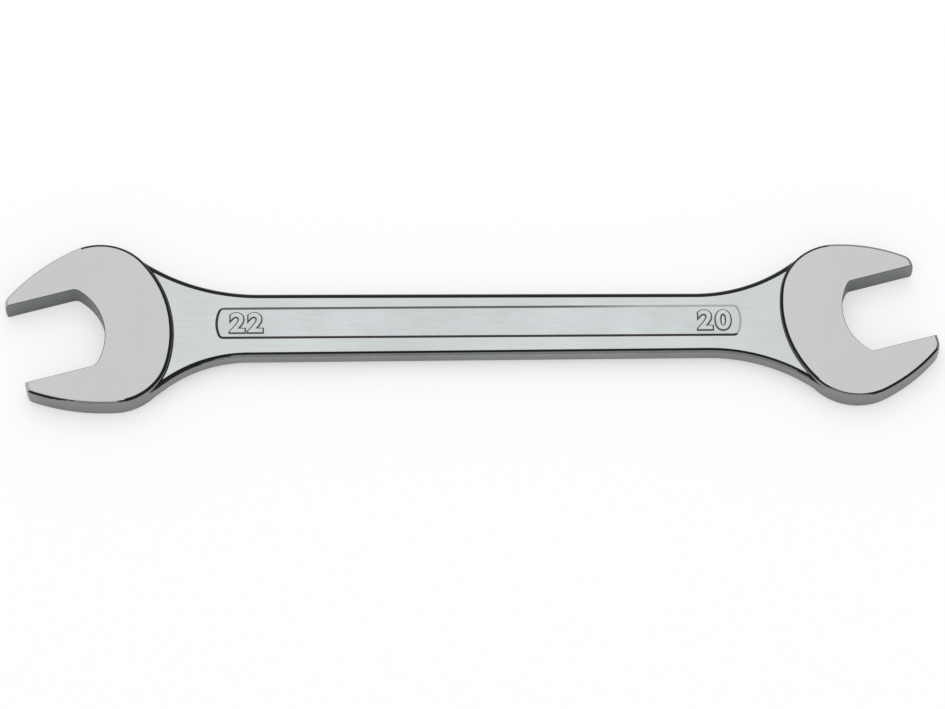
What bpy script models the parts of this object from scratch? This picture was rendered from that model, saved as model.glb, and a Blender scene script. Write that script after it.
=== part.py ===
"""Double open-ended wrench with a 22 mm and a 20 mm jaw, one closed-die steel forging.

The wrench lies flat with its length along X. The large head is at -X and the small
head at +X. Each jaw is turned fifteen degrees from the shank, so the tool is a long S.
The ground faces of the heads stand proud of the shank, the lower ones lie on Z = 0,
and the dies part half a head's thickness above them. Lengths are in metres and angles
in radians. In a head's own frame u points out of the jaw and v to the left of u.
"""

import math

import bmesh
import bpy
from mathutils import Matrix, Vector

# Whole forging
OVERALL_LENGTH = 0.2385
JAW_ANGLE = math.radians(15.0)
HEAD_THICKNESS = 0.0070
HEAD_EDGE_RADIUS = 0.0005
HEAD_DRAFT = math.radians(3.0)

# Large head
LARGE_OPENING = 0.0221
LARGE_WIDTH = 0.0461
LARGE_BACK_REACH = 0.01873
LARGE_TIP_REACH = 0.0215
LARGE_ROOT_REACH = 0.0016
LARGE_ROOT_FILLET = 0.0022
LARGE_TIP_FILLET = 0.003

# Small head
SMALL_OPENING = 0.0203
SMALL_WIDTH = 0.0437
SMALL_BACK_REACH = 0.0161
SMALL_TIP_REACH = 0.0205
SMALL_ROOT_REACH = 0.0006
SMALL_ROOT_FILLET = 0.0013
SMALL_TIP_FILLET = 0.003

# Arcs round the heads as shares of the head's width: their radii, and how far the back
# arc is shifted to the inside of the bend
LARGE_BACK_SHARE = 0.594
LARGE_SHIFT_SHARE = 0.018
LARGE_INSIDE_SHARE = 0.335
LARGE_OUTSIDE_SHARE = 0.295
LARGE_CHEEK_SHARE = 0.93
SMALL_BACK_SHARE = 0.627
SMALL_SHIFT_SHARE = 0.03
SMALL_INSIDE_SHARE = 0.335
SMALL_OUTSIDE_SHARE = 0.33
SMALL_CHEEK_SHARE = 1.05

# Turn from a head's widest point to where the cheek arc follows the shoulder
CHEEK_TURN = math.radians(14.0)

# Round root of each jaw, its radius as a share of the opening
ROOT_SHARE = 0.695

# Shank and necks, the widths where the edge lines pass the two head centres
SHANK_THICKNESS = 0.0050
SHANK_WIDTH_AT_LARGE = 0.0185
SHANK_WIDTH_AT_SMALL = 0.0169
SHANK_EDGE_RADIUS = 0.0016
SHANK_DRAFT = math.radians(5.0)
LARGE_FLARE_RADIUS = 0.045
SMALL_FLARE_RADIUS = 0.0463
NECK_SHOULDER_GAIN = 0.0058
NECK_BITE = 0.0001

# Hollow fillet where the shank's face runs up to a head, its radius as a share of the
# step, and how far its ends bite into the shank and the head
FOOT_SHARE = 0.5
FOOT_BITE = 0.00001

# Sunk panel on both faces of the shank
PANEL_WIDTH = 0.00874
PANEL_OFFSET = 0.0004
PANEL_DEPTH = 0.00036
PANEL_GAP_AT_LARGE = 0.0109
PANEL_GAP_AT_SMALL = 0.0101
PANEL_CORNER_RADIUS = 0.0014
PANEL_END_RADIUS = 0.009
PANEL_WALL_LEAN = math.radians(57.0)

# Modelling
OVERRUN = 0.002
MERGE_DISTANCE = 0.0000002
ARC_STEP = math.radians(5.0)
EDGE_STEPS = 4
SHARP_ANGLE = math.radians(30.0)

# Satin chrome plate
CHROME_COLOUR = (0.56, 0.575, 0.58, 1.0)
CHROME_ROUGHNESS = 0.3


class Head:
    """One head's sizes. Each half is drawn with v out to its own side.

    Side is 1 for the inside of the bend between the head and the shank and -1 for the
    outside, where the back arc reaches less far round.
    """

    def __init__(self, opening, width, back_reach, tip_reach, back_share, shift_share,
                 inside_share, outside_share, cheek_share, root_reach, root_fillet,
                 tip_fillet):
        self.half_opening = opening / 2
        self.half_width = width / 2
        self.tip_reach = tip_reach
        self.back_radius = width * back_share
        self.back_u = self.back_radius - back_reach
        self.back_shift = width * shift_share
        self.cheek_radius = width * cheek_share
        self.shoulder_radius = {1.0: width * inside_share, -1.0: width * outside_share}
        self.root_radius = opening * ROOT_SHARE
        self.root = Vector((self.root_radius - root_reach, 0.0))
        self.root_fillet = root_fillet
        self.tip_fillet = tip_fillet

    def back(self, side):
        """Centre of the back arc."""
        return Vector((self.back_u, side * self.back_shift))

    def shoulder(self, side):
        """Centre of the shoulder arc, which touches the back arc from inside."""
        back = self.back(side)
        radius = self.shoulder_radius[side]
        v = self.half_width - radius
        run = math.sqrt((self.back_radius - radius) ** 2 - (v - back.y) ** 2)
        return Vector((back.x - run, v))


def arc(centre, radius, start, end):
    """Points on an arc, both ends included, at most ARC_STEP apart."""
    steps = max(2, math.ceil(abs(end - start) / ARC_STEP))
    angles = [start + (end - start) * i / steps for i in range(steps + 1)]
    return [centre + radius * Vector((math.cos(a), math.sin(a))) for a in angles]


def bearing(origin, target):
    """Direction of target as seen from origin."""
    return math.atan2(target.y - origin.y, target.x - origin.x)


def join(*runs):
    """One closed run of points from several, without doubled points where they meet."""
    points = []
    for run in runs:
        for point in run:
            if not points or (point - points[-1]).length > MERGE_DISTANCE:
                points.append(point)
    if (points[0] - points[-1]).length <= MERGE_DISTANCE:
        points.pop()
    return points


def flipped(points):
    """The points mirrored to the other side of the local u axis, in reverse order."""
    return [Vector((p.x, -p.y)) for p in reversed(points)]


def placed(points, centre, angle):
    """Local points turned by angle and moved to centre."""
    turn = Matrix.Rotation(angle, 2)
    return [centre + turn @ point for point in points]


def head_half(head, side, grow):
    """Half of a head: tip corner, cheek, shoulder and back arcs that run into each other.

    Every arc is moved out by grow.
    """
    back = head.back(side)
    shoulder = head.shoulder(side)
    shoulder_radius = head.shoulder_radius[side]
    shoulder_end = bearing(back, shoulder)
    cheek_end = math.pi / 2 - CHEEK_TURN
    cheek_offset = head.cheek_radius - shoulder_radius
    cheek = shoulder - cheek_offset * Vector((math.cos(cheek_end), math.sin(cheek_end)))
    corner_u = head.tip_reach - head.tip_fillet
    corner_rise = math.sqrt((head.cheek_radius - head.tip_fillet) ** 2
                            - (corner_u - cheek.x) ** 2)
    corner = Vector((corner_u, cheek.y + corner_rise))
    corner_end = bearing(cheek, corner)
    return join(
        arc(corner, head.tip_fillet + grow, 0.0, corner_end),
        arc(cheek, head.cheek_radius + grow, corner_end, cheek_end),
        arc(shoulder, shoulder_radius + grow, cheek_end, shoulder_end),
        arc(back, head.back_radius + grow, shoulder_end, math.pi),
    )


def head_outline(head, grow=0.0):
    """A head at the parting plane, before its jaw is cut, moved out by grow."""
    return join(head_half(head, 1.0, grow), flipped(head_half(head, -1.0, grow)))


def jaw_outline(head):
    """A jaw's opening: parallel flats and a round root, with a fillet in each corner."""
    fillet_v = head.half_opening - head.root_fillet
    run = math.sqrt((head.root_radius - head.root_fillet) ** 2 - fillet_v ** 2)
    fillet = Vector((head.root.x - run, fillet_v))
    fillet_end = bearing(head.root, fillet)
    half = join(
        [Vector((head.tip_reach + OVERRUN, head.half_opening))],
        arc(fillet, head.root_fillet, math.pi / 2, fillet_end),
        arc(head.root, head.root_radius, fillet_end, math.pi),
    )
    return join(half, flipped(half))


def flare(edge_point, along, outward, radius, shoulder, shoulder_radius):
    """Neck edge from the straight shank edge, which runs along, into a head.

    The concave arc leaves the shank and stops where the neck's convex shoulder begins.
    """
    offset = edge_point + radius * outward - shoulder
    side = offset.dot(along)
    reach = radius + shoulder_radius
    slide = -side - math.sqrt(side ** 2 - offset.length_squared + reach ** 2)
    centre = shoulder + offset + slide * along
    start = bearing(centre, centre - outward)
    turn = bearing(centre, shoulder) - start
    turn = (turn + math.pi) % math.tau - math.pi
    return arc(centre, radius, start, start + turn)


def neck_side(head, centre, angle, v_side, edge_point, along, outward, flare_radius):
    """One edge of a neck, from the shank to the widest point of its head and on inside it.

    The neck's shoulder is rounder than the head's by a gain. The last arc follows the
    head's own shoulder a bite inside the wall, so that the neck and the head cross at a
    definite line and the neck's end stays hidden.
    """
    widest = placed([Vector((0.0, v_side))], Vector((0.0, 0.0)), angle)[0]
    inner = head.shoulder(v_side)
    inner = placed([Vector((inner.x, v_side * inner.y))], centre, angle)[0]
    hidden_radius = head.shoulder_radius[v_side] - NECK_BITE
    shoulder_radius = hidden_radius + NECK_SHOULDER_GAIN
    shoulder = inner - NECK_SHOULDER_GAIN * widest
    concave = flare(edge_point, along, outward, flare_radius, shoulder, shoulder_radius)
    start = bearing(shoulder, concave[-1])
    turn = bearing(shoulder, shoulder + widest) - start
    turn = (turn + math.pi) % math.tau - math.pi
    end = start + turn
    return join(concave, arc(shoulder, shoulder_radius, start, end),
                arc(inner, hidden_radius, end, end + math.copysign(math.pi / 2, turn)))


def neck_outline(large, large_centre, large_angle, small, small_centre, small_angle):
    """Shank and necks at the parting plane, closed by a line inside each jaw."""
    edges = []
    for side in (-1.0, 1.0):
        at_large = large_centre + Vector((0.0, side * SHANK_WIDTH_AT_LARGE / 2))
        at_small = small_centre + Vector((0.0, side * SHANK_WIDTH_AT_SMALL / 2))
        along = (at_small - at_large).normalized()
        outward = side * Vector((-along.y, along.x))
        at_large_head = neck_side(large, large_centre, large_angle, -side, at_large,
                                  -along, outward, LARGE_FLARE_RADIUS)
        at_small_head = neck_side(small, small_centre, small_angle, side, at_small,
                                  along, outward, SMALL_FLARE_RADIUS)
        edges.append(at_large_head[::-1] + at_small_head)
    near, far = edges
    return join(near, far[::-1])


def panel_outline(left, right):
    """The sunk panel at the shank's face, with bowed ends, from left to right."""
    corner_v = PANEL_WIDTH / 2 - PANEL_CORNER_RADIUS
    run = math.sqrt((PANEL_END_RADIUS - PANEL_CORNER_RADIUS) ** 2 - corner_v ** 2)
    end = Vector((right - PANEL_END_RADIUS, 0.0))
    corner = Vector((end.x + run, corner_v))
    turn = bearing(end, corner)
    quarter = join(
        arc(end, PANEL_END_RADIUS, 0.0, turn),
        arc(corner, PANEL_CORNER_RADIUS, turn, math.pi / 2),
    )
    half = quarter + [Vector((left + right - p.x, p.y)) for p in reversed(quarter)]
    middle = Vector((0.0, PANEL_OFFSET))
    return [point + middle for point in join(half, flipped(half))]


def section(half_thickness, edge_radius, draft):
    """Steps of (inset, rise) up a drafted flank and round its edge to the face."""
    tangent_rise = half_thickness - edge_radius + edge_radius * math.sin(draft)
    centre_inset = tangent_rise * math.tan(draft) + edge_radius * math.cos(draft)
    levels = [Vector((0.0, 0.0))]
    for i in range(EDGE_STEPS + 1):
        lean = draft + (math.pi / 2 - draft) * i / EDGE_STEPS
        levels.append(Vector((centre_inset - edge_radius * math.cos(lean),
                              half_thickness - edge_radius + edge_radius * math.sin(lean))))
    return [upper - lower for lower, upper in zip(levels, levels[1:])]


def foot_section(radius, depth):
    """Steps of (inset, rise) from a depth under the shank's face up over a hollow fillet."""
    levels = [Vector((0.0, -depth)), Vector((0.0, -FOOT_BITE))]
    for i in range(1, EDGE_STEPS + 1):
        turn = math.pi / 2 * i / EDGE_STEPS
        rise = radius * (1 - math.cos(turn))
        lean = rise * math.tan(HEAD_DRAFT)
        levels.append(Vector((radius * math.sin(turn) + lean + FOOT_BITE, rise)))
    return [upper - lower for lower, upper in zip(levels, levels[1:])]


def outline_face(bm, outline, height):
    """One flat face, looking up, through an outline."""
    face = bm.faces.new([bm.verts.new((p.x, p.y, height)) for p in outline])
    bm.normal_update()
    return face


def make_object(name, bm, parent):
    """An object with one closed mesh that faces outwards, under its parent."""
    bmesh.ops.remove_doubles(bm, verts=bm.verts, dist=MERGE_DISTANCE)
    bmesh.ops.recalc_face_normals(bm, faces=bm.faces)
    mesh = bpy.data.meshes.new(name)
    bm.to_mesh(mesh)
    bm.free()
    obj = bpy.data.objects.new(name, mesh)
    obj.parent = parent
    bpy.context.scene.collection.objects.link(obj)
    return obj


def draw_up(bm, top, steps):
    """Draw a solid's top face up and in by steps of (inset, rise)."""
    for step in steps:
        bmesh.ops.inset_region(bm, faces=[top], use_boundary=True, use_even_offset=True,
                               thickness=step.x, depth=step.y)


def forged_slab(name, outline, half_thickness, edge_radius, draft, parent):
    """A slab with drafted flanks and round edges, alike on both sides of Z = 0."""
    bm = bmesh.new()
    top = outline_face(bm, outline, 0.0)
    draw_up(bm, top, section(half_thickness, edge_radius, draft))
    bmesh.ops.mirror(bm, geom=bm.verts[:] + bm.edges[:] + bm.faces[:], axis='Z',
                     merge_dist=MERGE_DISTANCE)
    return make_object(name, bm, parent)


def foot_limit(neck, radius, parent):
    """What bounds the foot fillets over the necks.

    It is thicker than the shank by the fillet's radius but has rounder edges, so that
    the fillets run out into the necks' round edges.
    """
    half_thickness = SHANK_THICKNESS / 2 + radius + FOOT_BITE
    edge_radius = (SHANK_THICKNESS / 2 + SHANK_EDGE_RADIUS) / 2 + radius
    return forged_slab("foot_limit", neck, half_thickness, edge_radius, SHANK_DRAFT, parent)


def foot_collar(name, head, centre, angle, radius, limit, side, parent):
    """The hollow fillet at a head's foot on one face: a collar, kept inside the limit."""
    bm = bmesh.new()
    face_height = SHANK_THICKNESS / 2
    grow = radius - face_height * math.tan(HEAD_DRAFT)
    outline = placed(head_outline(head, grow), centre, angle)
    top = outline_face(bm, outline, face_height / 2)
    draw_up(bm, top, foot_section(radius, face_height / 2))
    bmesh.ops.holes_fill(bm, edges=bm.edges)
    bmesh.ops.scale(bm, verts=bm.verts, vec=(1.0, 1.0, side))
    collar = make_object(name, bm, parent)
    carve(collar, limit, 'INTERSECT')
    return collar


def prism(name, outline, half_height, parent):
    """A straight-walled cutter, alike on both sides of Z = 0."""
    bm = bmesh.new()
    base = outline_face(bm, outline, -half_height)
    raised = bmesh.ops.extrude_face_region(bm, geom=[base], use_keep_orig=True)
    verts = [item for item in raised["geom"] if isinstance(item, bmesh.types.BMVert)]
    bmesh.ops.translate(bm, verts=verts, vec=(0.0, 0.0, 2 * half_height))
    return make_object(name, bm, parent)


def panel_cutter(name, outline, side, parent):
    """A cutter for the sunk panel on one face, its walls leaning out to the face."""
    bm = bmesh.new()
    base = outline_face(bm, outline, SHANK_THICKNESS / 2)
    raised = bmesh.ops.extrude_face_region(bm, geom=[base], use_keep_orig=True)
    verts = [item for item in raised["geom"] if isinstance(item, bmesh.types.BMVert)]
    bmesh.ops.translate(bm, verts=verts, vec=(0.0, 0.0, OVERRUN))
    bmesh.ops.inset_region(bm, faces=[base], use_boundary=True, use_even_offset=True,
                           thickness=PANEL_DEPTH * math.tan(PANEL_WALL_LEAN))
    bmesh.ops.translate(bm, verts=base.verts, vec=(0.0, 0.0, -PANEL_DEPTH))
    bmesh.ops.scale(bm, verts=bm.verts, vec=(1.0, 1.0, side))
    return make_object(name, bm, parent)


def carve(obj, tool, operation):
    """Join a tool's solid to obj, cut it away or keep what both share.

    The weld makes doubled points on the crossing lines one. The tool stays as a hidden
    guide.
    """
    modifier = obj.modifiers.new(tool.name, 'BOOLEAN')
    modifier.operation = operation
    modifier.object = tool
    weld = obj.modifiers.new(tool.name + "_weld", 'WELD')
    weld.merge_threshold = MERGE_DISTANCE
    tool.hide_render = True
    tool.display_type = 'WIRE'


def apply_modifiers(obj):
    """Give obj its evaluated mesh as its own."""
    bpy.context.view_layer.update()
    evaluated = obj.evaluated_get(bpy.context.evaluated_depsgraph_get())
    mesh = bpy.data.meshes.new_from_object(evaluated)
    obj.modifiers.clear()
    obj.data = mesh
    mesh.name = obj.name


def chrome():
    """Satin chrome plate over the whole forging."""
    material = bpy.data.materials.new("satin_chrome")
    material.use_nodes = True
    shader = material.node_tree.nodes["Principled BSDF"]
    shader.inputs["Base Color"].default_value = CHROME_COLOUR
    shader.inputs["Metallic"].default_value = 1.0
    shader.inputs["Roughness"].default_value = CHROME_ROUGHNESS
    return material


def main():
    for obj in list(bpy.data.objects):
        bpy.data.objects.remove(obj, do_unlink=True)

    parting_plane = bpy.data.objects.new("parting_plane", None)
    parting_plane.location.z = HEAD_THICKNESS / 2
    bpy.context.scene.collection.objects.link(parting_plane)

    large = Head(LARGE_OPENING, LARGE_WIDTH, LARGE_BACK_REACH, LARGE_TIP_REACH,
                 LARGE_BACK_SHARE, LARGE_SHIFT_SHARE, LARGE_INSIDE_SHARE,
                 LARGE_OUTSIDE_SHARE, LARGE_CHEEK_SHARE, LARGE_ROOT_REACH,
                 LARGE_ROOT_FILLET, LARGE_TIP_FILLET)
    small = Head(SMALL_OPENING, SMALL_WIDTH, SMALL_BACK_REACH, SMALL_TIP_REACH,
                 SMALL_BACK_SHARE, SMALL_SHIFT_SHARE, SMALL_INSIDE_SHARE,
                 SMALL_OUTSIDE_SHARE, SMALL_CHEEK_SHARE, SMALL_ROOT_REACH,
                 SMALL_ROOT_FILLET, SMALL_TIP_FILLET)

    # The tips of both heads end at the overall length
    origin = Vector((0.0, 0.0))
    large_angle = math.pi + JAW_ANGLE
    small_angle = JAW_ANGLE
    large_end = min(p.x for p in placed(head_outline(large), origin, large_angle))
    small_end = max(p.x for p in placed(head_outline(small), origin, small_angle))
    large_centre = Vector((-OVERALL_LENGTH / 2 - large_end, 0.0))
    small_centre = Vector((OVERALL_LENGTH / 2 - small_end, 0.0))

    neck = neck_outline(large, large_centre, large_angle, small, small_centre, small_angle)
    forging = forged_slab("wrench_forging", neck, SHANK_THICKNESS / 2,
                          SHANK_EDGE_RADIUS, SHANK_DRAFT, parting_plane)

    heads = (("large", large, large_centre, large_angle),
             ("small", small, small_centre, small_angle))
    for name, head, centre, angle in heads:
        blank = forged_slab(name + "_head_blank", placed(head_outline(head), centre, angle),
                            HEAD_THICKNESS / 2, HEAD_EDGE_RADIUS, HEAD_DRAFT, parting_plane)
        carve(forging, blank, 'UNION')

    foot_radius = FOOT_SHARE * (HEAD_THICKNESS - SHANK_THICKNESS) / 2
    limit = foot_limit(neck, foot_radius, parting_plane)
    for name, head, centre, angle in heads:
        for face, side in (("upper", 1.0), ("lower", -1.0)):
            collar = foot_collar(f"{name}_{face}_foot", head, centre, angle, foot_radius,
                                 limit, side, parting_plane)
            carve(forging, collar, 'UNION')
    for name, head, centre, angle in heads:
        cutter = prism(name + "_jaw_cutter", placed(jaw_outline(head), centre, angle),
                       HEAD_THICKNESS / 2 + OVERRUN, parting_plane)
        carve(forging, cutter, 'DIFFERENCE')

    large_back = placed([large.back(1.0)], large_centre, large_angle)[0].x
    small_back = placed([small.back(1.0)], small_centre, small_angle)[0].x
    panel = panel_outline(large_back + large.back_radius + PANEL_GAP_AT_LARGE,
                          small_back - small.back_radius - PANEL_GAP_AT_SMALL)
    for name, side in (("upper", 1.0), ("lower", -1.0)):
        carve(forging, panel_cutter(name + "_panel_cutter", panel, side, parting_plane),
              'DIFFERENCE')

    apply_modifiers(forging)
    forging.data.shade_smooth()
    forging.data.set_sharp_from_angle(angle=SHARP_ANGLE)
    forging.data.materials.clear()
    forging.data.materials.append(chrome())


main()
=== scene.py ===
"""Looks of the double open-ended wrench: one satin chrome forging with two jaws.

The wrench lies flat on a pale table, large head at -X and small head at +X. The forging
is modelled again with finer arcs and broken edges over its plain solid, and carries the
two plain jaw sizes as raised numerals in the sunk panel. Its finishes carry painted
reflections, highlights and shade on the round edges, foot fillets, flanks, jaws, panel walls
and numeral sides. Lengths are in metres and angles in radians, except in the near bands of
painted reflection, which are in degrees. In a head's own frame u points out of the jaw and
v to the left of u.
"""

import math

import bmesh
import bpy
from mathutils import Matrix, Vector


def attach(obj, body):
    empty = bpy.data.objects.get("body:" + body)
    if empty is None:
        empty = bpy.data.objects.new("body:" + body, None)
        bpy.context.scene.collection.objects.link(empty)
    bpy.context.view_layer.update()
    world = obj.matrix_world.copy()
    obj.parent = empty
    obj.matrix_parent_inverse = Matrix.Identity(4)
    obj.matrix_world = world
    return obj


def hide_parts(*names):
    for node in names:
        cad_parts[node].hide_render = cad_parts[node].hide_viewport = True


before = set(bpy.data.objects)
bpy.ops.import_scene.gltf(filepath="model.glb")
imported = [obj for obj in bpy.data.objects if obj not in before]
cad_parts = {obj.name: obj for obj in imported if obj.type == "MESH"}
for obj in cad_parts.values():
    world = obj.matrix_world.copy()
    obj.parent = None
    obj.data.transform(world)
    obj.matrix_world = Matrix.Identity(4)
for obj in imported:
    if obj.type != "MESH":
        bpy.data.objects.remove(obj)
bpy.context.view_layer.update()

# Whole forging
JAW_ANGLE = math.radians(15.0)
HEAD_THICKNESS = 0.0070
HEAD_DRAFT = math.radians(3.0)

# Each head. Inside and outside are the two sides of the bend between head and shank. The
# gain is how much rounder the neck's shoulder is than the head's own. The round edge gets a
# painted highlight on one side, given by its middle and reach, for the reflection of the bright
# room.
LARGE_HEAD = {
    # Lengths
    "centre_x": -0.0955, "opening": 0.0221, "width": 0.04575, "skew": 0.00028,
    "back_reach": 0.01908, "tip_reach": 0.0216, "inside_tip": 0.0015, "outside_tip": 0.003,
    "root_reach": 0.0016, "root_fillet": 0.0022, "edge_radius": 0.00085,
    "inside_flare": 0.0336, "outside_flare": 0.0523,
    "inside_gain": 0.0092, "outside_gain": 0.0013,
    # Shares of the width, but of the opening for the root and of the step for the foot
    "back": 0.685, "shift": 0.0, "inside": 0.319, "outside": 0.333,
    "inside_cheek": 1.19, "outside_cheek": 1.124, "root": 0.695, "foot": 0.3,
    # Angles: the cheek's, the rim's painted highlight, and the near edge's band of painted dark
    # reflection in degrees
    "cheek_turn": math.radians(12.0),
    "highlight_middle": math.radians(167.5), "highlight_reach": math.radians(57.5),
    "painted_near_band": ((-60.0, 0.0, 58.0), (-45.0, 22.0, 72.0), (-14.0, 29.5, 82.0),
                  (-7.0, 22.0, 29.0), (7.0, 22.0, 29.0), (16.0, 0.0, 58.0)),
}
SMALL_HEAD = {
    # Lengths
    "centre_x": 0.096, "opening": 0.0203, "width": 0.0438, "skew": 0.00005,
    "back_reach": 0.01635, "tip_reach": 0.021, "inside_tip": 0.0032, "outside_tip": 0.0032,
    "root_reach": 0.0006, "root_fillet": 0.0013, "edge_radius": 0.00075,
    "inside_flare": 0.0404, "outside_flare": 0.0455,
    "inside_gain": 0.0088, "outside_gain": 0.0017,
    # Shares of the width, but of the opening for the root and of the step for the foot
    "back": 0.703, "shift": 0.016, "inside": 0.335, "outside": 0.347,
    "inside_cheek": 0.99, "outside_cheek": 1.024, "root": 0.695, "foot": 0.15,
    # Angles: the cheek's, the rim's painted highlight, and the near edge's band of painted dark
    # reflection in degrees
    "cheek_turn": math.radians(13.2),
    "highlight_middle": math.radians(33.0), "highlight_reach": math.radians(63.0),
    "painted_near_band": ((-55.0, 0.0, 58.0), (-35.0, 14.5, 58.0), (-25.0, 14.5, 29.0),
                  (5.0, 14.5, 29.0), (14.0, 14.5, 66.0), (60.0, 14.5, 66.0)),
}

# Shank and necks
SHANK_THICKNESS = 0.0050
SHANK_WIDTH_AT_LARGE = 0.0185
SHANK_WIDTH_AT_SMALL = 0.0169
SHANK_EDGE_RADIUS = 0.0016
SHANK_DRAFT = math.radians(5.0)
# Band of painted dark reflection and painted highlight on the shank's near edge, in degrees
SHANK_PAINTED_NEAR_BAND = ((-60.0, 0.0, 58.0), (-42.0, 14.5, 58.0), (-28.0, 14.5, 37.0),
                   (6.0, 14.5, 37.0), (24.0, 14.5, 58.0), (60.0, 14.5, 58.0), (75.0, 0.0, 58.0))
NECK_BITE = 0.00027  # how deep a neck's hidden end lies in the head

# Sunk panel
PANEL_WIDTH = 0.00874
PANEL_OFFSET = 0.0004
PANEL_DEPTH = 0.00036
PANEL_GAP_AT_LARGE = 0.01066
PANEL_GAP_AT_SMALL = 0.00986
PANEL_CORNER_RADIUS = 0.0014
PANEL_END_RADIUS = 0.009
PANEL_WALL_LEAN = math.radians(57.0)
PANEL_SKEW = 0.00018  # how far the floor lies towards the far side, so the near wall is wider
PANEL_EDGE_RADIUS = 0.00015
PANEL_LIT_SIDE = 0.01  # how far a wall has to look towards the near side or -X to get the painted highlight

# Round edges: the tilt from the face where the painted dark reflection ends, and the tilt past
# which a face belongs to the drafted flank
EDGE_TILT = math.radians(58.0)
FLANK_TILT = math.radians(85.0)

# Finer detail of the finished tool
FOOT_BITE = 0.00001
JAW_CHAMFER = 0.00018
OVERRUN = 0.002

# How finely arcs are drawn and points are merged
CHORD = 0.0007
LEAST_ARC_STEPS = 3
HEAD_EDGE_STEPS = 6
SHANK_EDGE_STEPS = 12
FOOT_STEPS = 6
PANEL_EDGE_STEPS = 3
MERGE = 0.0000005
CROSS_MERGE = 0.000004
SHARP_ANGLE = math.radians(32.0)

# Raised numerals, the two jaw sizes
NUMERAL_HEIGHT = 0.0062
NUMERAL_PAIR_WIDTH = 0.0091
NUMERAL_FATTEN = 0.00002
NUMERAL_SPACING = 1.18
NUMERAL_TOP_FLATNESS = 0.96  # least upright share of a top face's normal
NUMERAL_RISE = 0.0003
NUMERAL_SINK = 0.0006
NUMERAL_ROUND = 0.00044
NUMERAL_ROUND_STEPS = 5
NUMERAL_Y = 0.0006
LARGE_NUMERAL_X = -0.05745
SMALL_NUMERAL_X = 0.06215

# Noise of the finishes: a grain's length in X, Y and Z, how finely the noise is broken up,
# the cloud's share of the tone, and the levels between which the noise is spread out
EVEN_GRAIN = (0.0008, 0.0008, 0.0008)
GRAIN_DETAIL = 4.0
CLOUD_DETAIL = 3.0
CLOUD_SHARE = 0.5
NOISE_LOW = 0.3
NOISE_HIGH = 0.7

# Material slots of the forging, then of a numeral
SATIN, GROUND, FLANK, PAINTED_DARK_EDGE, BROACHED, COINED, SHADED_RECESS, PAINTED_LIT_WALL, FOOT_SHADE, SHADED_NUMERAL_SIDE = range(10)
TOP_SLOT, SIDE_SLOT = range(2)

# Camera and studio
CAMERA_TARGET = Vector((0.0003, -0.00925, HEAD_THICKNESS))
CAMERA_DISTANCE = 1.15
CAMERA_TILT = math.radians(24.4)
CAMERA_ROLL = math.radians(0.36)
CAMERA_FIELD_WIDTH = 0.24046
FLOOR_RADIUS = 4.0
FLOOR_SEGMENTS = 64
FLOOR_GAP = 0.00005
FLOOR_WHITE = 0.96
FLOOR_LIFT = 0.5
ROOM_LIGHT = 0.88
TENT_RADIUS = 3.6
TENT_GLOW = 0.3
TENT_SEGMENTS = 48
RING_GLOW = 0.75
RING_COLOUR = (0.97, 0.99, 1.0, 1.0)
RING_FOOT = math.radians(10.0)
RING_TOP = math.radians(50.0)
RING_DISTANCE = 2.0
SOFTBOX_HEIGHT = 1.5
SOFTBOX_NEAR = math.radians(20.0)
SOFTBOX_FAR = math.radians(50.0)
SOFTBOX_SIDE = math.radians(27.0)
WHITE = (1.0, 1.0, 1.0, 1.0)


def unit(angle):
    return Vector((math.cos(angle), math.sin(angle)))


def bearing(origin, target):
    return math.atan2(target.y - origin.y, target.x - origin.x)


def wrapped(angle):
    """The same angle, between minus and plus half a turn."""
    return (angle + math.pi) % math.tau - math.pi


# An arc is (centre, radius, start, end). An outline is a list of arcs and of single
# points, joined by straight runs.
def flipped(outline):
    """The outline mirrored to the other side of the u axis, run backwards."""
    return [(Vector((c.x, -c.y)), r, -end, -start) for c, r, start, end in reversed(outline)]


def backwards(outline):
    return [(c, r, end, start) for c, r, start, end in reversed(outline)]


def placed(outline, centre, angle):
    """An outline in a head's own frame, brought to its place in the wrench."""
    turn = Matrix.Rotation(angle, 2)
    return [(centre + turn @ c, r, start + angle, end + angle)
            for c, r, start, end in outline]


def bend(side):
    """Which side of the bend a head's side is, by the sign of v."""
    return "inside" if side > 0 else "outside"


def back_centre(head, side):
    """Centre of the arc at a head's back, on the side towards the shank."""
    radius = head["width"] * head["back"]
    return Vector((radius - head["back_reach"], side * head["width"] * head["shift"]))


def shoulder_arc(head, side):
    """Centre and radius of the arc at a head's widest point, v out to the given side."""
    radius = head["width"] * head[bend(side)]
    back = back_centre(head, side)
    v = head["width"] / 2 + side * head["skew"] - radius
    run = math.sqrt((head["width"] * head["back"] - radius) ** 2 - (v - back.y) ** 2)
    return Vector((back.x - run, v)), radius


def head_half(head, side):
    """One half of a head's edge, from its prong's tip over cheek and shoulder to the back."""
    back = back_centre(head, side)
    shoulder, shoulder_radius = shoulder_arc(head, side)
    shoulder_end = bearing(back, shoulder)
    cheek_radius = head["width"] * head[bend(side) + "_cheek"]
    tip_radius = head[bend(side) + "_tip"]
    cheek_end = math.pi / 2 - head["cheek_turn"]
    cheek = shoulder - (cheek_radius - shoulder_radius) * unit(cheek_end)
    corner_u = head["tip_reach"] - tip_radius
    rise = math.sqrt((cheek_radius - tip_radius) ** 2 - (corner_u - cheek.x) ** 2)
    corner = Vector((corner_u, cheek.y + rise))
    corner_end = bearing(cheek, corner)
    return [
        (corner, tip_radius, 0.0, corner_end),
        (cheek, cheek_radius, corner_end, cheek_end),
        (shoulder, shoulder_radius, cheek_end, shoulder_end),
        (back, head["width"] * head["back"], shoulder_end, math.pi),
    ]


def head_outline(head, grow=0.0):
    """A head's edge before its jaw is cut, moved out by grow."""
    outline = head_half(head, 1.0) + flipped(head_half(head, -1.0))
    return [(centre, radius + grow, start, end) for centre, radius, start, end in outline]


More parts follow.
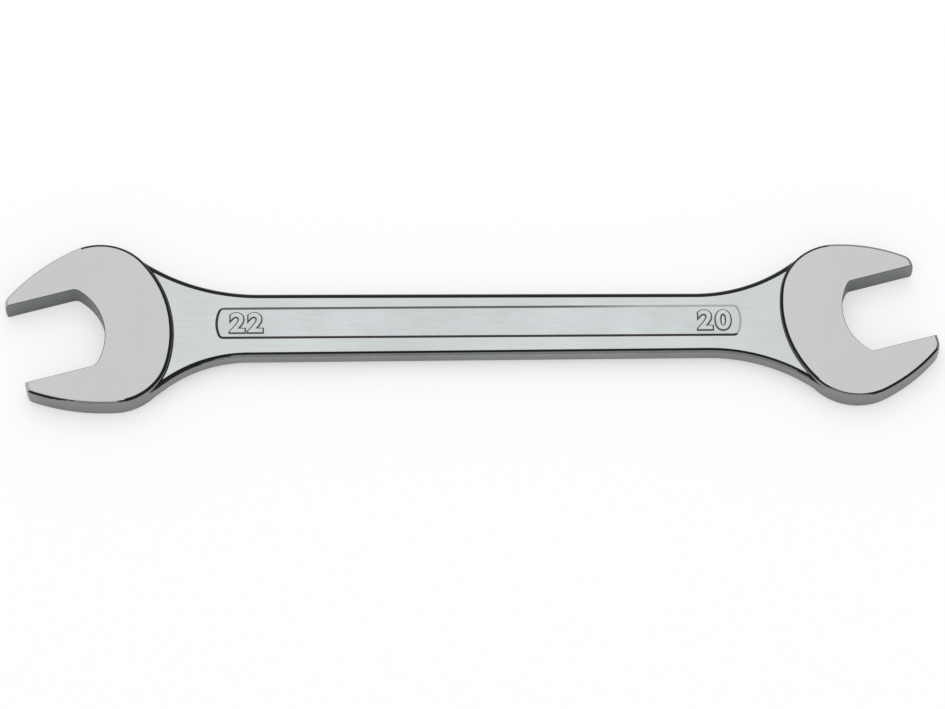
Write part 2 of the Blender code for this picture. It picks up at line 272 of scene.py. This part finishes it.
def jaw_outline(head, grow):
    """The jaw's opening, every side moved out by grow."""
    root_radius = head["opening"] * head["root"]
    root = Vector((root_radius - head["root_reach"], 0.0))
    fillet_v = head["opening"] / 2 - head["root_fillet"]
    run = math.sqrt((root_radius - head["root_fillet"]) ** 2 - fillet_v ** 2)
    fillet = Vector((root.x - run, fillet_v))
    fillet_end = bearing(root, fillet)
    mouth = Vector((head["tip_reach"] + OVERRUN + grow, head["opening"] / 2 + grow))
    half = [
        (mouth, 0.0, 0.0, 0.0),
        (fillet, head["root_fillet"] + grow, math.pi / 2, fillet_end),
        (root, root_radius + grow, fillet_end, math.pi),
    ]
    return half + flipped(half)


def neck_side(head, centre, angle, side, edge_point, along, outward):
    """One edge of a neck: concave flare, rounder shoulder, then hidden in the head."""
    flare_radius = head[bend(side) + "_flare"]
    gain = head[bend(side) + "_gain"]
    widest = Matrix.Rotation(angle, 2) @ Vector((0.0, side))
    inner, radius = shoulder_arc(head, side)
    inner = centre + Matrix.Rotation(angle, 2) @ Vector((inner.x, side * inner.y))
    hidden_radius = radius - NECK_BITE
    radius = hidden_radius + gain
    shoulder = inner - gain * widest

    offset = edge_point + flare_radius * outward - shoulder
    along_part = offset.dot(along)
    reach = flare_radius + radius
    slide = -along_part - math.sqrt(along_part ** 2 - offset.length_squared + reach ** 2)
    flare = shoulder + offset + slide * along
    flare_start = bearing(flare, flare - outward)
    flare_turn = wrapped(bearing(flare, shoulder) - flare_start)

    start = bearing(shoulder, flare)
    turn = wrapped(bearing(shoulder, shoulder + widest) - start)
    end = start + turn
    return [
        (flare, flare_radius, flare_start, flare_start + flare_turn),
        (shoulder, radius, start, end),
        (inner, hidden_radius, end, end + math.copysign(math.pi / 2, turn)),
    ]


def neck_outline(large_centre, large_angle, small_centre, small_angle):
    """The shank with both necks, as one closed outline."""
    sides = []
    for side in (-1.0, 1.0):
        at_large = large_centre + Vector((0.0, side * SHANK_WIDTH_AT_LARGE / 2))
        at_small = small_centre + Vector((0.0, side * SHANK_WIDTH_AT_SMALL / 2))
        along = (at_small - at_large).normalized()
        outward = side * Vector((-along.y, along.x))
        large_side = neck_side(LARGE_HEAD, large_centre, large_angle, -side, at_large,
                               -along, outward)
        small_side = neck_side(SMALL_HEAD, small_centre, small_angle, side, at_small,
                               along, outward)
        sides.append(backwards(large_side) + small_side)
    near, far = sides
    return near + backwards(far)


def panel_outline(left, right, grow):
    """The sunk panel with bowed ends, every side moved out by grow."""
    corner_v = PANEL_WIDTH / 2 - PANEL_CORNER_RADIUS
    run = math.sqrt((PANEL_END_RADIUS - PANEL_CORNER_RADIUS) ** 2 - corner_v ** 2)
    end = Vector((right - PANEL_END_RADIUS, PANEL_OFFSET))
    corner = end + Vector((run, corner_v))
    turn = bearing(end, corner)
    quarter = [(end, PANEL_END_RADIUS + grow, 0.0, turn),
               (corner, PANEL_CORNER_RADIUS + grow, turn, math.pi / 2)]
    other = [(Vector((left + right - c.x, c.y)), r, math.pi - b, math.pi - a)
             for c, r, a, b in reversed(quarter)]
    half = quarter + other
    lower = [(Vector((c.x, 2 * PANEL_OFFSET - c.y)), r, -b, -a)
             for c, r, a, b in reversed(half)]
    return half + lower


def traced(bm, outline, height):
    """A flat face through an outline, each arc swept from one point about its centre."""
    previous = first = None
    for centre, radius, start, end in outline:
        point = centre + radius * unit(start)
        begin = finish = bm.verts.new((point.x, point.y, height))
        if radius > 0.0 and start != end:
            steps = max(LEAST_ARC_STEPS, math.ceil(abs(end - start) * radius / CHORD))
            swept = bmesh.ops.spin(bm, geom=[begin], cent=(centre.x, centre.y, height),
                                   axis=(0.0, 0.0, 1.0), angle=end - start, steps=steps)
            finish = [v for v in swept["geom_last"] if isinstance(v, bmesh.types.BMVert)][0]
        if previous:
            bm.edges.new((previous, begin))
        first = first or begin
        previous = finish
    bm.edges.new((previous, first))
    bmesh.ops.remove_doubles(bm, verts=bm.verts, dist=CROSS_MERGE)
    face = bmesh.ops.contextual_create(bm, geom=bm.edges[:])["faces"][0]
    face.normal_update()
    if face.normal.z < 0.0:
        face.normal_flip()
    bm.normal_update()
    return face


def edge_section(half_thickness, edge_radius, draft, steps):
    """Steps of (inset, rise) up a drafted flank and round its edge to the face."""
    rise = half_thickness - edge_radius + edge_radius * math.sin(draft)
    middle = rise * math.tan(draft) + edge_radius * math.cos(draft)
    levels = [Vector((0.0, 0.0))]
    for i in range(steps + 1):
        lean = draft + (math.pi / 2 - draft) * i / steps
        levels.append(Vector((middle - edge_radius * math.cos(lean),
                              half_thickness - edge_radius + edge_radius * math.sin(lean))))
    return [upper - lower for lower, upper in zip(levels, levels[1:])]


def panel_wall_section():
    """Steps of (inset, drop) over the panel's round lip, down its wall and into its foot."""
    slope = math.pi / 2 - PANEL_WALL_LEAN
    turns = [slope * i / PANEL_EDGE_STEPS for i in range(PANEL_EDGE_STEPS + 1)]
    lip = [PANEL_EDGE_RADIUS * Vector((math.sin(t), 1.0 - math.cos(t))) for t in turns]
    lip_steps = [lower - upper for upper, lower in zip(lip, lip[1:])]
    wall_drop = PANEL_DEPTH - 2 * lip[-1].y
    wall = Vector((wall_drop * math.tan(PANEL_WALL_LEAN), wall_drop))
    return lip_steps + [wall] + lip_steps[::-1]


def inset(bm, face, thickness, depth, slot):
    """Draws a face in by thickness and lifts it by depth, the new ring in its own slot."""
    ring = bmesh.ops.inset_region(bm, faces=[face], use_boundary=True, thickness=thickness,
                                  depth=depth, use_even_offset=True)["faces"]
    for side in ring:
        side.material_index = slot


def mirrored(bm):
    """Adds the half under Z = 0."""
    bmesh.ops.mirror(bm, geom=bm.verts[:] + bm.edges[:] + bm.faces[:], axis='Z',
                     merge_dist=MERGE)


def solid_of(name, bm, finishes):
    """An object with one closed mesh that faces outwards."""
    bmesh.ops.remove_doubles(bm, verts=bm.verts, dist=MERGE)
    bmesh.ops.recalc_face_normals(bm, faces=bm.faces)
    mesh = bpy.data.meshes.new(name)
    bm.to_mesh(mesh)
    bm.free()
    for finish in finishes:
        mesh.materials.append(finish)
    obj = bpy.data.objects.new(name, mesh)
    bpy.context.scene.collection.objects.link(obj)
    return obj


def forged_slab(name, outline, half_thickness, edge_radius, draft, steps, slot, finishes):
    """A slab with drafted flanks and round edges, its flat faces in their own slot."""
    bm = bmesh.new()
    top = traced(bm, outline, 0.0)
    for step in edge_section(half_thickness, edge_radius, draft, steps):
        # The round edge up to EDGE_TILT takes the nearly black finish of painted dark reflection
        inset(bm, top, step.x, step.y,
              PAINTED_DARK_EDGE if step.y < step.x * math.tan(EDGE_TILT) else FLANK)
    top.material_index = slot
    mirrored(bm)
    return solid_of(name, bm, finishes)


def foot_section(radius, depth):
    """Steps of (inset, rise) from a depth under the shank's face up over a hollow fillet."""
    levels = [Vector((0.0, -depth)), Vector((0.0, -FOOT_BITE))]
    for i in range(1, FOOT_STEPS + 1):
        turn = math.pi / 2 * i / FOOT_STEPS
        rise = radius * (1.0 - math.cos(turn))
        lean = rise * math.tan(HEAD_DRAFT)
        levels.append(Vector((radius * math.sin(turn) + lean + FOOT_BITE, rise)))
    return [upper - lower for lower, upper in zip(levels, levels[1:])]


def foot_collar(name, head, centre, angle, neck, side, finishes):
    """The hollow fillet at a head's foot on one face, painted dark as shade, kept inside a
    rounder, thicker neck.
    """
    radius = head["foot"] * (HEAD_THICKNESS - SHANK_THICKNESS) / 2
    face_height = SHANK_THICKNESS / 2
    grow = radius - face_height * math.tan(HEAD_DRAFT)
    bm = bmesh.new()
    top = traced(bm, placed(head_outline(head, grow), centre, angle), face_height / 2)
    for step in foot_section(radius, face_height / 2):
        inset(bm, top, step.x, step.y, FOOT_SHADE)
    bmesh.ops.holes_fill(bm, edges=bm.edges[:])
    bmesh.ops.scale(bm, verts=bm.verts, vec=(1.0, 1.0, side))
    collar = solid_of(name, bm, finishes)
    limit = forged_slab(name + "_limit", neck, face_height + radius + FOOT_BITE,
                        (face_height + SHANK_EDGE_RADIUS) / 2 + radius, SHANK_DRAFT,
                        SHANK_EDGE_STEPS, FOOT_SHADE, finishes)
    for face in limit.data.polygons:
        face.material_index = FOOT_SHADE
    carve(collar, limit, 'INTERSECT')
    return collar


def jaw_cutter(name, head, centre, angle, finishes):
    """The broached opening, with a small chamfer that breaks its edge at both faces."""
    bm = bmesh.new()
    grow = JAW_CHAMFER + OVERRUN
    end = traced(bm, placed(jaw_outline(head, grow), centre, angle),
                 HEAD_THICKNESS / 2 + OVERRUN)
    inset(bm, end, grow, -grow, BROACHED)
    inset(bm, end, 0.0, JAW_CHAMFER - HEAD_THICKNESS / 2, BROACHED)
    bmesh.ops.delete(bm, geom=[end], context='FACES_ONLY')
    mirrored(bm)
    bmesh.ops.holes_fill(bm, edges=bm.edges[:])
    return solid_of(name, bm, finishes)


def panel_cutter(name, left, right, side, finishes):
    """The sunk panel's space over one face, with a round lip and foot, its walls painted dark as
    shade.
    """
    bm = bmesh.new()
    section = panel_wall_section()
    spread = sum(step.x for step in section)
    grow = (spread - PANEL_DEPTH * math.tan(PANEL_WALL_LEAN)) / 2
    floor = traced(bm, panel_outline(left, right, grow), SHANK_THICKNESS / 2 + OVERRUN)
    inset(bm, floor, 0.0, -OVERRUN, SHADED_RECESS)
    for i, step in enumerate(section):
        inset(bm, floor, step.x, -step.y, SHADED_RECESS)
        if i == PANEL_EDGE_STEPS:
            bmesh.ops.translate(bm, verts=floor.verts, vec=(0.0, PANEL_SKEW, 0.0))
    bm.normal_update()
    for face in bm.faces:
        # Walls looking to the near side or -X take the lighter finish, a painted highlight
        if face.normal.x + face.normal.y < -PANEL_LIT_SIDE:
            face.material_index = PAINTED_LIT_WALL
    bmesh.ops.holes_fill(bm, edges=bm.edges[:])
    floor.material_index = COINED
    bmesh.ops.scale(bm, verts=bm.verts, vec=(1.0, 1.0, side))
    return solid_of(name, bm, finishes)


def evaluated_mesh(obj):
    """A new mesh with the object's modifiers applied."""
    bpy.context.view_layer.update()
    graph = bpy.context.evaluated_depsgraph_get()
    return bpy.data.meshes.new_from_object(obj.evaluated_get(graph))


def carve(obj, tool, operation):
    """Joins a tool's solid to obj, cuts it away or keeps what both share."""
    modifier = obj.modifiers.new(tool.name, 'BOOLEAN')
    modifier.operation = operation
    modifier.object = tool
    weld = obj.modifiers.new("weld", 'WELD')
    weld.merge_threshold = MERGE
    mesh = evaluated_mesh(obj)
    obj.modifiers.clear()
    obj.data = mesh
    bpy.data.objects.remove(tool, do_unlink=True)


def shade_round_edges(obj):
    """Smooth shading that keeps the wide flat faces flat up to their round edges."""
    obj.data.shade_smooth()
    obj.data.set_sharp_from_angle(angle=SHARP_ANGLE)
    modifier = obj.modifiers.new("flat_faces", 'WEIGHTED_NORMAL')
    modifier.keep_sharp = True
    mesh = evaluated_mesh(obj)
    obj.modifiers.clear()
    obj.data = mesh


def paint_near_edge_reflection(obj, band, top_slot):
    """Where the round edge looks to the near side, leaves only a band of it dark as a painted
    reflection, and gives the part nearer the face the top face's finish as a painted highlight.

    Each entry of the band holds a turn from the near side, negative towards -X, and the
    tilts from the face between which the edge is painted dark there, all in degrees. Between
    two entries the tilts are blended.
    """
    turns, starts, ends = ([math.radians(angle) for angle in column] for column in zip(*band))
    for face in obj.data.polygons:
        turn = wrapped(math.atan2(face.normal.y, face.normal.x) + math.pi / 2)
        tilt = math.acos(min(abs(face.normal.z), 1.0))
        on_edge = face.material_index in (PAINTED_DARK_EDGE, FLANK) and tilt < FLANK_TILT
        if on_edge and turns[0] < turn < turns[-1]:
            i = next(i for i, last in enumerate(turns) if turn < last)
            share = (turn - turns[i - 1]) / (turns[i] - turns[i - 1])
            start = starts[i - 1] + share * (starts[i] - starts[i - 1])
            end = ends[i - 1] + share * (ends[i] - ends[i - 1])
            face.material_index = top_slot if tilt < start else PAINTED_DARK_EDGE if tilt < end else FLANK


def paint_rim_highlight(obj, head, slot):
    """Gives the round edge a brighter slot, a painted highlight, where it faces the head's lit
    side.
    """
    for face in obj.data.polygons:
        turn = wrapped(math.atan2(face.normal.y, face.normal.x) - head["highlight_middle"])
        if face.material_index == PAINTED_DARK_EDGE and abs(turn) < head["highlight_reach"]:
            face.material_index = slot


def back_x(head, centre, angle):
    """Where along X the centre of the arc at a head's back lies."""
    return (centre + Matrix.Rotation(angle, 2) @ back_centre(head, 1.0)).x


def wrench(finishes):
    """The whole forging, lying on Z = 0 where its plain solid lies."""
    large_centre, large_angle = Vector((LARGE_HEAD["centre_x"], 0.0)), math.pi + JAW_ANGLE
    small_centre, small_angle = Vector((SMALL_HEAD["centre_x"], 0.0)), JAW_ANGLE
    neck = neck_outline(large_centre, large_angle, small_centre, small_angle)
    forging = forged_slab("satin_chrome_wrench", neck, SHANK_THICKNESS / 2,
                          SHANK_EDGE_RADIUS, SHANK_DRAFT, SHANK_EDGE_STEPS, SATIN, finishes)
    # Painted reflection on the shank's near edge: a dark band, with the satin finish as
    # highlight nearer the face
    paint_near_edge_reflection(forging, SHANK_PAINTED_NEAR_BAND, SATIN)
    heads = (("large", LARGE_HEAD, large_centre, large_angle),
             ("small", SMALL_HEAD, small_centre, small_angle))
    for name, head, centre, angle in heads:
        outline = placed(head_outline(head), centre, angle)
        blank = forged_slab(name + "_head", outline, HEAD_THICKNESS / 2,
                            head["edge_radius"], HEAD_DRAFT, HEAD_EDGE_STEPS, GROUND,
                            finishes)
        # Painted highlight on the rim: the ground finish on the large head, the flank finish on
        # the small
        paint_rim_highlight(blank, head, GROUND if head is LARGE_HEAD else FLANK)
        # Painted reflection on the head's near edge: a dark band, with the ground finish as
        # highlight nearer the face
        paint_near_edge_reflection(blank, head["painted_near_band"], GROUND)
        carve(forging, blank, 'UNION')
    for name, head, centre, angle in heads:
        for face, side in (("upper", 1.0), ("lower", -1.0)):
            carve(forging, foot_collar(f"{name}_{face}_foot", head, centre, angle, neck,
                                       side, finishes), 'UNION')
    for name, head, centre, angle in heads:
        carve(forging, jaw_cutter(name + "_jaw", head, centre, angle, finishes),
              'DIFFERENCE')

    left = (back_x(LARGE_HEAD, large_centre, large_angle)
            + LARGE_HEAD["width"] * LARGE_HEAD["back"] + PANEL_GAP_AT_LARGE)
    right = (back_x(SMALL_HEAD, small_centre, small_angle)
             - SMALL_HEAD["width"] * SMALL_HEAD["back"] - PANEL_GAP_AT_SMALL)
    for name, side in (("upper_panel", 1.0), ("lower_panel", -1.0)):
        carve(forging, panel_cutter(name, left, right, side, finishes), 'DIFFERENCE')

    shade_round_edges(forging)
    forging.data.transform(Matrix.Translation((0.0, 0.0, HEAD_THICKNESS / 2)))
    return forging


def numerals(name, digits, middle_x, finishes):
    """A jaw's plain size as raised numerals in the panel, alike on both faces."""
    text = bpy.data.curves.new(name, 'FONT')
    text.body = digits
    text.size = NUMERAL_HEIGHT
    text.offset = NUMERAL_FATTEN
    text.space_character = NUMERAL_SPACING
    text.extrude = (NUMERAL_RISE + NUMERAL_SINK) / 2 - NUMERAL_ROUND
    text.bevel_depth = NUMERAL_ROUND
    text.bevel_resolution = NUMERAL_ROUND_STEPS
    raw = bpy.data.objects.new(name, text)
    bpy.context.scene.collection.objects.link(raw)
    mesh = evaluated_mesh(raw)
    bpy.data.objects.remove(raw, do_unlink=True)

    bm = bmesh.new()
    bm.from_mesh(mesh)
    low = Vector([min(v.co[i] for v in bm.verts) for i in range(3)])
    high = Vector([max(v.co[i] for v in bm.verts) for i in range(3)])
    middle = (low + high) / 2
    fit = Vector((NUMERAL_PAIR_WIDTH / (high.x - low.x), NUMERAL_HEIGHT / (high.y - low.y), 1.0))
    panel_floor = SHANK_THICKNESS / 2 - PANEL_DEPTH
    height = panel_floor + (NUMERAL_RISE - NUMERAL_SINK) / 2
    place = Vector((middle_x, NUMERAL_Y, height))
    bmesh.ops.translate(bm, verts=bm.verts, vec=-middle)
    bmesh.ops.scale(bm, verts=bm.verts, vec=fit)
    for face in bm.faces:
        face.normal_update()
        flat = abs(face.normal.z) > NUMERAL_TOP_FLATNESS
        # Sloped sides take the darker finish, painted shade around the strokes
        face.material_index = TOP_SLOT if flat else SIDE_SLOT
    bmesh.ops.translate(bm, verts=bm.verts, vec=place)
    turned = bmesh.ops.duplicate(bm, geom=bm.verts[:] + bm.edges[:] + bm.faces[:])
    under = [item for item in turned["geom"] if isinstance(item, bmesh.types.BMVert)]
    bmesh.ops.rotate(bm, verts=under, cent=(0.0, 0.0, 0.0),
                     matrix=Matrix.Rotation(math.pi, 3, 'X'))
    bmesh.ops.translate(bm, verts=bm.verts, vec=(0.0, 0.0, HEAD_THICKNESS / 2))
    piece = solid_of(name, bm, finishes)
    piece.data.shade_smooth()
    piece.data.set_sharp_from_angle(angle=SHARP_ANGLE)
    return piece


def chrome(name, colour, roughness, grain_length=EVEN_GRAIN, cloud_scale=80.0,
           tone_change=0.12, gloss_change=0.05, bump=0.000002, fade=None):
    """Chrome plate with a grain, whose length is given in X, Y and Z, and a cloudy tone.

    Fade is (start, end, gain) along X, for a painted highlight whose tone changes towards the
    small head.
    """
    material = bpy.data.materials.new(name)
    material.use_nodes = True
    tree = material.node_tree
    shader = tree.nodes["Principled BSDF"]
    shader.inputs["Metallic"].default_value = 1.0

    where = tree.nodes.new("ShaderNodeTexCoord")
    aligned = tree.nodes.new("ShaderNodeMapping")
    aligned.inputs["Scale"].default_value = [1.0 / length for length in grain_length]
    tree.links.new(where.outputs["Object"], aligned.inputs["Vector"])
    grain = tree.nodes.new("ShaderNodeTexNoise")
    grain.inputs["Scale"].default_value = 1.0
    grain.inputs["Detail"].default_value = GRAIN_DETAIL
    tree.links.new(aligned.outputs["Vector"], grain.inputs["Vector"])
    cloud = tree.nodes.new("ShaderNodeTexNoise")
    cloud.inputs["Scale"].default_value = cloud_scale
    cloud.inputs["Detail"].default_value = CLOUD_DETAIL
    tree.links.new(where.outputs["Object"], cloud.inputs["Vector"])

    both = tree.nodes.new("ShaderNodeMix")
    both.inputs["Factor"].default_value = CLOUD_SHARE
    tree.links.new(grain.outputs["Fac"], both.inputs["A"])
    tree.links.new(cloud.outputs["Fac"], both.inputs["B"])

    tone = tree.nodes.new("ShaderNodeMapRange")
    tone.inputs["From Min"].default_value = NOISE_LOW
    tone.inputs["From Max"].default_value = NOISE_HIGH
    tone.inputs["To Min"].default_value = 1.0 - tone_change
    tone.inputs["To Max"].default_value = 1.0 + tone_change
    tree.links.new(both.outputs["Result"], tone.inputs["Value"])
    level = tone.outputs["Result"]
    if fade:
        along = tree.nodes.new("ShaderNodeSeparateXYZ")
        tree.links.new(where.outputs["Object"], along.inputs["Vector"])
        start, end, gain = fade
        change = tree.nodes.new("ShaderNodeMapRange")
        change.inputs["From Min"].default_value = start
        change.inputs["From Max"].default_value = end
        change.inputs["To Min"].default_value = 1.0
        change.inputs["To Max"].default_value = gain
        tree.links.new(along.outputs["X"], change.inputs["Value"])
        product = tree.nodes.new("ShaderNodeMath")
        product.operation = 'MULTIPLY'
        tree.links.new(level, product.inputs[0])
        tree.links.new(change.outputs["Result"], product.inputs[1])
        level = product.outputs["Value"]
    tinted = tree.nodes.new("ShaderNodeVectorMath")
    tinted.operation = 'SCALE'
    tinted.inputs["Vector"].default_value = colour
    tree.links.new(level, tinted.inputs["Scale"])
    tree.links.new(tinted.outputs["Vector"], shader.inputs["Base Color"])

    gloss = tree.nodes.new("ShaderNodeMapRange")
    gloss.inputs["From Min"].default_value = NOISE_LOW
    gloss.inputs["From Max"].default_value = NOISE_HIGH
    gloss.inputs["To Min"].default_value = roughness - gloss_change
    gloss.inputs["To Max"].default_value = roughness + gloss_change
    tree.links.new(grain.outputs["Fac"], gloss.inputs["Value"])
    tree.links.new(gloss.outputs["Result"], shader.inputs["Roughness"])

    relief = tree.nodes.new("ShaderNodeBump")
    relief.inputs["Strength"].default_value = 1.0
    relief.inputs["Distance"].default_value = bump
    tree.links.new(grain.outputs["Fac"], relief.inputs["Height"])
    tree.links.new(relief.outputs["Normal"], shader.inputs["Normal"])
    return material


def glow(name, colour, strength):
    """A cloth of the studio that shines by itself."""
    material = bpy.data.materials.new(name)
    material.use_nodes = True
    tree = material.node_tree
    tree.nodes.clear()
    lamp = tree.nodes.new("ShaderNodeEmission")
    lamp.inputs["Color"].default_value = colour
    lamp.inputs["Strength"].default_value = strength
    output = tree.nodes.new("ShaderNodeOutputMaterial")
    tree.links.new(lamp.outputs["Emission"], output.inputs["Surface"])
    return material


def only_in_reflections(obj):
    """A card of the studio that only the metal sees."""
    obj.visible_camera = False
    obj.visible_diffuse = False
    obj.visible_transmission = False
    obj.visible_volume_scatter = False
    obj.visible_shadow = False


def seen_by(tree, rays):
    """1 on camera rays and the named ones, and 0 on the rays that light things."""
    path = tree.nodes.new("ShaderNodeLightPath")
    result = path.outputs["Is Camera Ray"]
    for ray in rays:
        either = tree.nodes.new("ShaderNodeMath")
        either.operation = 'MAXIMUM'
        tree.links.new(result, either.inputs[0])
        tree.links.new(path.outputs[ray], either.inputs[1])
        result = either.outputs["Value"]
    return result


def studio():
    """A pale floor, a grey tent with a white ring, a softbox above and a white room."""
    bm = bmesh.new()
    bmesh.ops.create_circle(bm, cap_ends=True, segments=FLOOR_SEGMENTS,
                             radius=FLOOR_RADIUS)
    bmesh.ops.translate(bm, verts=bm.verts, vec=(0.0, 0.0, -FLOOR_GAP))
    paper = bpy.data.materials.new("pale_floor")
    paper.use_nodes = True
    shader = paper.node_tree.nodes["Principled BSDF"]
    shader.inputs["Base Color"].default_value = (FLOOR_WHITE, FLOOR_WHITE, FLOOR_WHITE, 1.0)
    shader.inputs["Roughness"].default_value = 1.0
    shader.inputs["Specular IOR Level"].default_value = 0.0
    tree = paper.node_tree
    lift = tree.nodes.new("ShaderNodeEmission")
    lift.inputs["Strength"].default_value = FLOOR_WHITE
    share = tree.nodes.new("ShaderNodeMath")
    share.operation = 'MULTIPLY'
    share.inputs[1].default_value = FLOOR_LIFT
    tree.links.new(seen_by(tree, ["Is Transmission Ray"]), share.inputs[0])
    blend = tree.nodes.new("ShaderNodeMixShader")
    tree.links.new(share.outputs["Value"], blend.inputs["Fac"])
    tree.links.new(shader.outputs["BSDF"], blend.inputs[1])
    tree.links.new(lift.outputs["Emission"], blend.inputs[2])
    tree.links.new(blend.outputs["Shader"], tree.nodes["Material Output"].inputs["Surface"])
    solid_of("floor", bm, [paper])

    bm = bmesh.new()
    bmesh.ops.create_uvsphere(bm, u_segments=TENT_SEGMENTS, v_segments=TENT_SEGMENTS // 2,
                              radius=TENT_RADIUS)
    only_in_reflections(solid_of("grey_tent", bm, [glow("grey_cloth", WHITE, TENT_GLOW)]))

    bm = bmesh.new()
    foot, top = (bm.verts.new((RING_DISTANCE, 0.0, RING_DISTANCE * math.tan(height)))
                 for height in (RING_FOOT, RING_TOP))
    edge = bm.edges.new((foot, top))
    bmesh.ops.spin(bm, geom=[foot, top, edge], cent=(0.0, 0.0, 0.0), axis=(0.0, 0.0, 1.0),
                   angle=math.tau, steps=TENT_SEGMENTS, use_merge=True)
    only_in_reflections(solid_of("white_ring", bm, [
        glow("ring_cloth", RING_COLOUR, RING_GLOW)]))

    near = -SOFTBOX_HEIGHT * math.tan(SOFTBOX_NEAR)
    far = SOFTBOX_HEIGHT * math.tan(SOFTBOX_FAR)
    wide = 2 * SOFTBOX_HEIGHT * math.tan(SOFTBOX_SIDE)
    softbox = bpy.data.lights.new("softbox", 'AREA')
    softbox.shape = 'RECTANGLE'
    softbox.size = wide
    softbox.size_y = far - near
    softbox.energy = math.pi * wide * (far - near) * (1.0 - TENT_GLOW)
    lamp = bpy.data.objects.new("softbox", softbox)
    lamp.location = (0.0, (near + far) / 2, SOFTBOX_HEIGHT)
    bpy.context.scene.collection.objects.link(lamp)

    world = bpy.data.worlds.new("white_room")
    bpy.context.scene.world = world
    world.use_nodes = True
    tree = world.node_tree
    tree.nodes.clear()
    level = tree.nodes.new("ShaderNodeMapRange")
    level.inputs["To Min"].default_value = ROOM_LIGHT
    level.inputs["To Max"].default_value = 1.0
    tree.links.new(seen_by(tree, ["Is Glossy Ray", "Is Transmission Ray"]),
                   level.inputs["Value"])
    white = tree.nodes.new("ShaderNodeBackground")
    tree.links.new(level.outputs["Result"], white.inputs["Strength"])
    output = tree.nodes.new("ShaderNodeOutputWorld")
    tree.links.new(white.outputs["Background"], output.inputs["Surface"])
    white.inputs["Color"].default_value = WHITE


def camera():
    """Looks down on the wrench from the near side, a little rolled."""
    forward = Vector((0.0, math.sin(CAMERA_TILT), -math.cos(CAMERA_TILT)))
    level = Vector((1.0, 0.0, 0.0))
    up = level.cross(forward)
    right = level * math.cos(CAMERA_ROLL) - up * math.sin(CAMERA_ROLL)
    upright = up * math.cos(CAMERA_ROLL) + level * math.sin(CAMERA_ROLL)
    turn = Matrix((right, upright, -forward)).transposed().to_4x4()
    lens = bpy.data.cameras.new("camera")
    lens.lens = lens.sensor_width * CAMERA_DISTANCE / CAMERA_FIELD_WIDTH
    lens.clip_end = 2 * FLOOR_RADIUS + CAMERA_DISTANCE
    eye = bpy.data.objects.new("camera", lens)
    eye.matrix_world = Matrix.Translation(CAMERA_TARGET - CAMERA_DISTANCE * forward) @ turn
    bpy.context.scene.collection.objects.link(eye)
    bpy.context.scene.camera = eye
    bpy.context.scene.view_settings.view_transform = 'Standard'


finishes = [
    chrome("satin_shank", (0.63, 0.665, 0.668), 0.3, grain_length=(0.02, 0.0004, 0.0004),
           cloud_scale=60.0, tone_change=0.10),
    chrome("ground_head_face", (0.592, 0.598, 0.588), 0.28,
           grain_length=(0.0003, 0.02, 0.0003), cloud_scale=40.0, tone_change=0.03,
           gloss_change=0.03, bump=0.000001),
    # Darker than the faces: the as-forged finish with painted shade for the dim reflection of
    # the floor
    chrome("forged_flank_and_shade", (0.25, 0.256, 0.257), 0.34, gloss_change=0.06, bump=0.000006),
    # Nearly black: painted dark reflection on the round edges
    chrome("round_edge", (0.023, 0.0233, 0.0245), 0.24),
    # Darker than the faces: the broached finish with painted shade for the dim reflection of the
    # floor
    chrome("broached_jaw_and_shade", (0.18, 0.19, 0.196), 0.3, grain_length=(0.0004, 0.0004, 0.01),
           cloud_scale=60.0, tone_change=0.10, bump=0.000004),
    chrome("coined_panel", (0.625, 0.66, 0.665), 0.32, grain_length=(0.004, 0.0006, 0.0006),
           tone_change=0.10, bump=0.000003),
    # Nearly black: painted shade on the panel's walls
    chrome("panel_wall", (0.07, 0.062, 0.056), 0.3),
    # Lighter copy of the panel wall: painted highlight, 3.3 times brighter towards the small
    # head
    chrome("lit_panel_wall", (0.18, 0.176, 0.172), 0.3, fade=(0.025, 0.045, 3.3)),
    # Nearly black: painted shade in the hollow fillet at a head's foot
    chrome("foot_fillet", (0.015, 0.0154, 0.0162), 0.24),
    # Darker: painted shade on the numerals' sloped sides
    chrome("numeral_side", (0.13, 0.12, 0.112), 0.3),
]

body = wrench(finishes)
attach(body, "root")
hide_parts("wrench_forging")

for name, digits, middle_x in (("numerals_22", "22", LARGE_NUMERAL_X),
                               ("numerals_20", "20", SMALL_NUMERAL_X)):
    size_mark = numerals(name, digits, middle_x, [finishes[COINED], finishes[SHADED_NUMERAL_SIDE]])
    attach(size_mark, "root")

studio()
camera()
